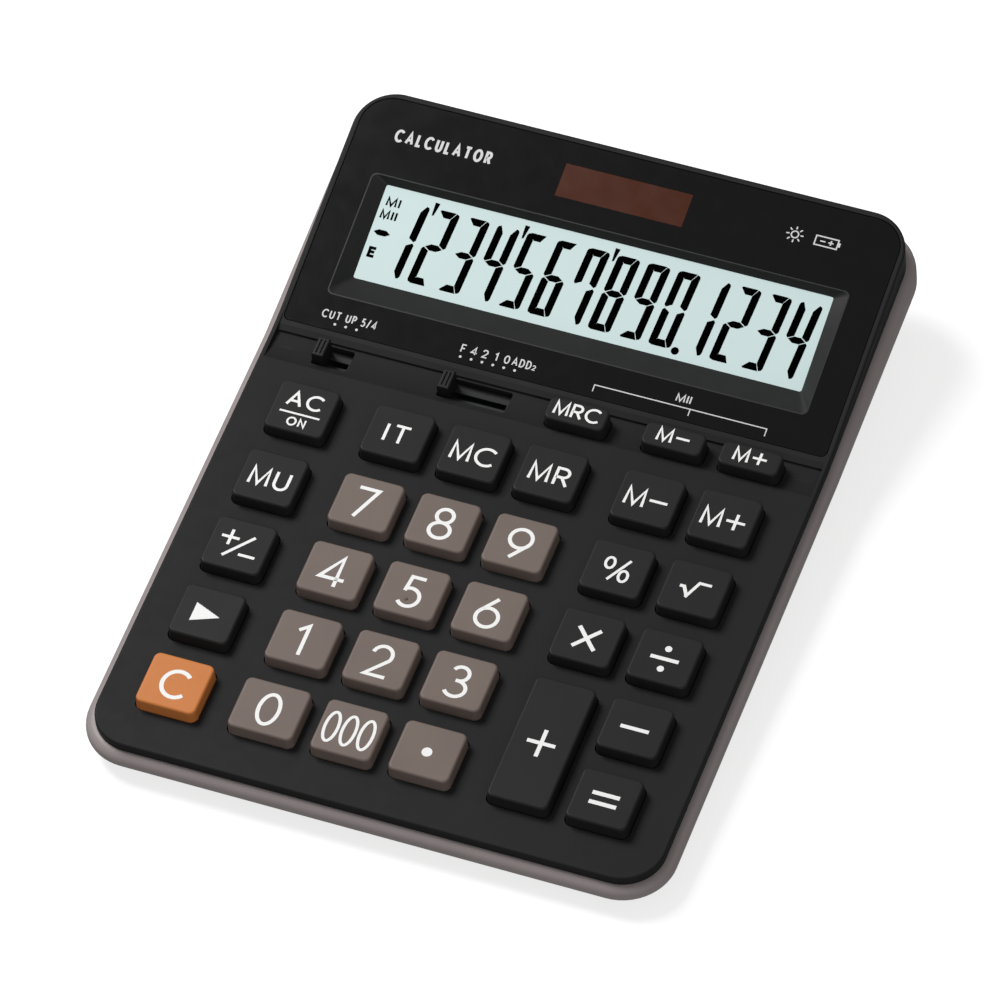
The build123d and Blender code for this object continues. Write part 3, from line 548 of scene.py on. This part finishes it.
# The photograph's legends sit a little off the middle of their keys, in millimetres.
usual_up = -0.4
legend_right = {"1": -0.9, "7": -0.4}
legend_up = {"mrc": 0.4, "m2_minus": 0.4, "m2_plus": 0.4}
for body in frame["bodies"]:
    if not body.startswith("key_"):
        continue
    name = body[len("key_"):-len("_body")]
    top = Face("key_" + name, deck_up)
    top.shift(legend_right.get(name, 0), legend_up.get(name, usual_up))
    art = Drawing(top)
    if name in signs:
        signs[name](art)
    else:
        text, height, width, spread, gap = words[name]
        art.word(text, 0, 0, height, width, spread, gap)
    art.piece("legend_" + name, white_ink, body)

# prints on the panel ----------------------------------------------------------------------------
panel = Face("display_panel", head_up)
art = Drawing(panel)


def from_front(v):
    """Height on the panel of a line v above the panel's front edge."""
    return v - panel.half_length / MM


DETENT_PITCH = 2.95
PRINT_HEIGHT = 2.4
PRINT_STROKE = 0.36
DETENT_DOT = 0.36
ROUND_SWITCH_PLACES = 3
DECIMAL_SWITCH_PLACES = "F4210"  # the last place, ADD2, is wider
BRACKET_STROKE = 0.3

dot_line = from_front(1.9)
word_line = from_front(4.3)
for i in range(ROUND_SWITCH_PLACES):
    art.dot(-59.7 + i * DETENT_PITCH, dot_line, DETENT_DOT)
art.word("CUT UP 5/4", -56.5, word_line, PRINT_HEIGHT, PRINT_STROKE, 0.7)
for i, text in enumerate(DECIMAL_SWITCH_PLACES):
    art.word(text, -25.4 + i * DETENT_PITCH, word_line, PRINT_HEIGHT, PRINT_STROKE)
for i in range(len(DECIMAL_SWITCH_PLACES) + 1):
    art.dot(-25.5 + i * DETENT_PITCH, dot_line, DETENT_DOT)
art.word("ADD", -9.6, word_line, PRINT_HEIGHT, PRINT_STROKE, 0.72)
art.word("2", -6.2, word_line - 0.4, 1.5, 0.28)

# bracket over the three small keys
bracket = [(10.3, 1.7), (10.3, 3.6), (56.5, 3.6), (56.5, 1.5)]
branch = [(36.0, 3.6), (36.0, 1.7)]
for line in (bracket, branch):
    art.stroke([(x, from_front(v)) for x, v in line], BRACKET_STROKE)
art.word("MII", 33.5, from_front(6.0), PRINT_HEIGHT, 0.4, 1.15)
art.word("CALCULATOR", -49.6, from_front(57.6), 3.8, 0.72, 0.6)

# sun and battery marks for the two supplies
MARK_STROKE = 0.36
mark_y = from_front(57.8)
sun_x = 46.0
art.stroke(arc(sun_x, mark_y, 0.95, 0.95, 90, 450, 24), MARK_STROKE)
for i in range(8):
    a = math.radians(45 * i)
    ray = [(sun_x + d * math.cos(a), mark_y + d * math.sin(a)) for d in (1.5, 2.3)]
    art.stroke(ray, MARK_STROKE)
battery_x = 54.5
box = [(-3.0, -1.3), (3.0, -1.3), (3.0, 1.3), (-3.0, 1.3), (-3.0, -1.3)]
art.stroke([(battery_x + x, mark_y + y) for x, y in box], MARK_STROKE)
art.stroke([(battery_x + 3.45, mark_y - 0.6), (battery_x + 3.45, mark_y + 0.6)], 0.5)
art.bar(battery_x - 1.0, mark_y, 0.7, MARK_STROKE)
art.bar(battery_x + 1.2, mark_y, 0.7, MARK_STROKE)
art.stroke([(battery_x + 1.2, mark_y - 0.7), (battery_x + 1.2, mark_y + 0.7)], MARK_STROKE)
art.piece("panel_print", print_ink, "case")

# liquid crystal's figures -----------------------------------------------------------------------
glass = Face("lcd_glass", glass_up)
art = Drawing(glass)
CELL_WIDTH = 6.05
CELL_HEIGHT = 21.45
CELL_PITCH = 8.2
SEGMENT_WIDTH = 2.0
CORNER = 1.0
HALF_GAP = 0.09
SLANT = 0.075
LAST_CELL_RIGHT = 59.02
FIGURES_BOTTOM = -11.05
SHOWN = "12345678901234"
SEPARATORS = (0, 3, 6)  # the figures that have a mark at their upper right
POINT_AFTER = 9
SEGMENTS = {
    "0": "abcdef",
    "1": "bc",
    "2": "abged",
    "3": "abgcd",
    "4": "fgbc",
    "5": "afgcd",
    "6": "afgecd",
    "7": "fabc",
    "8": "abcdefg",
    "9": "abcdfg",
}


def segment(letter):
    """Outline of one of a figure's seven segments, from the cell's lower left corner."""
    w, h, m = CELL_WIDTH, CELL_HEIGHT, CELL_HEIGHT / 2
    thick, gap = SEGMENT_WIDTH, HALF_GAP
    top = [
        (CORNER, h),
        (w - CORNER - gap, h),
        (w - thick - gap, h - thick),
        (thick + gap, h - thick),
        (CORNER - 0.4, h - 0.3),
    ]
    upper_right = [
        (w, h - 0.9 * CORNER),
        (w - 0.25 * CORNER, h - 0.35 * CORNER),
        (w - CORNER + gap, h - 0.1),
        (w - thick, h - thick - gap),
        (w - thick, m + thick / 2 + gap),
        (w - 0.5, m + 2 * gap),
        (w, m + 0.7),
    ]
    middle = [
        (0.7, m),
        (thick + 0.1, m + 0.45 * thick),
        (w - thick - 0.1, m + 0.45 * thick),
        (w - 0.7, m),
        (w - thick - 0.1, m - 0.45 * thick),
        (thick + 0.1, m - 0.45 * thick),
    ]
    outline = {"a": top, "d": top, "g": middle}.get(letter, upper_right)
    if letter in "ef":
        outline = [(w - x, y) for x, y in outline]
    if letter in "cde":
        outline = [(x, h - y) for x, y in outline]
    return outline


def cell_right(i):
    """Right edge of the figure number i, counted from the left."""
    return LAST_CELL_RIGHT - (len(SHOWN) - 1 - i) * CELL_PITCH


for i, figure in enumerate(SHOWN):
    left = cell_right(i) - CELL_WIDTH
    for letter in SEGMENTS[figure]:
        art.polygon([
            (left + x + SLANT * (y - CELL_HEIGHT), FIGURES_BOTTOM + y) for x, y in segment(letter)
        ])
for i in SEPARATORS:
    right = cell_right(i)
    art.polygon([
        (right + 0.9, 8.2), (right + 1.4, 8.4), (right + 2.1, 11.9), (right + 0.8, 12.0)
    ])
art.dot(cell_right(POINT_AFTER) - 0.15, -11.2, 1.05)

# memory, error and minus marks at the display's left
art.word("MI", -57.4, 9.1, 2.8, 0.52, 1.15)
art.word("MII", -57.5, 5.4, 2.8, 0.52)
art.word("E", -58.3, -5.5, 3.05, 0.78, 1.35)
art.polygon([
    (-59.85, 0.25), (-58.6, 1.05), (-56.6, 1.05), (-55.35, 0.25), (-56.6, -0.55), (-58.6, -0.55)
])
art.piece("lcd_segments", segment_ink, "case")

# stage ------------------------------------------------------------------------------------------
FLOOR_REACH = 3.0
FLOOR_DROP = 0.0002
FLOOR_COLOUR = (0.5, 0.5, 0.5)
FLOOR_ROUGHNESS = 0.9
FLOOR_GLOW = 0.7
WORLD_STRENGTH = 0.25

mesh = bpy.data.meshes.new("floor")
corners = [(x * FLOOR_REACH, y * FLOOR_REACH, 0) for x, y in [(-1, -1), (1, -1), (1, 1), (-1, 1)]]
mesh.from_pydata(corners, [], [(0, 1, 2, 3)])
floor = bpy.data.objects.new("floor", mesh)
bpy.context.scene.collection.objects.link(floor)
floor.location.z = -FLOOR_DROP
# the case's black walls would mirror the bright floor
floor.visible_glossy = False
floor.visible_diffuse = False
material, tree, shader = new_material("pale_floor")
shader.inputs["Base Color"].default_value = (*FLOOR_COLOUR, 1)
shader.inputs["Roughness"].default_value = FLOOR_ROUGHNESS
shader.inputs["Emission Color"].default_value = (1, 1, 1, 1)
shader.inputs["Emission Strength"].default_value = FLOOR_GLOW
mesh.materials.append(material)


def area_light(name, azimuth, elevation, distance, size, power):
    """Square area light that looks at the object; azimuth 0 is in front and 90 to the left."""
    data = bpy.data.lights.new(name, "AREA")
    data.size = size
    data.energy = power
    lamp = bpy.data.objects.new(name, data)
    bpy.context.scene.collection.objects.link(lamp)
    a, e = math.radians(azimuth), math.radians(elevation)
    way = Vector((-math.sin(a) * math.cos(e), -math.cos(a) * math.cos(e), math.sin(e)))
    lamp.location = way * distance
    lamp.rotation_mode = "QUATERNION"
    lamp.rotation_quaternion = way.to_track_quat("Z", "Y")


area_light("key_light", azimuth=112, elevation=52, distance=1.6, size=0.7, power=20.5)
area_light("fill_light", azimuth=-35, elevation=25, distance=2.0, size=1.6, power=7.5)

world = bpy.data.worlds.new("studio")
world.use_nodes = True
world.node_tree.nodes["Background"].inputs["Color"].default_value = (1, 1, 1, 1)
world.node_tree.nodes["Background"].inputs["Strength"].default_value = WORLD_STRENGTH
bpy.context.scene.world = world
bpy.context.scene.view_settings.view_transform = "Standard"
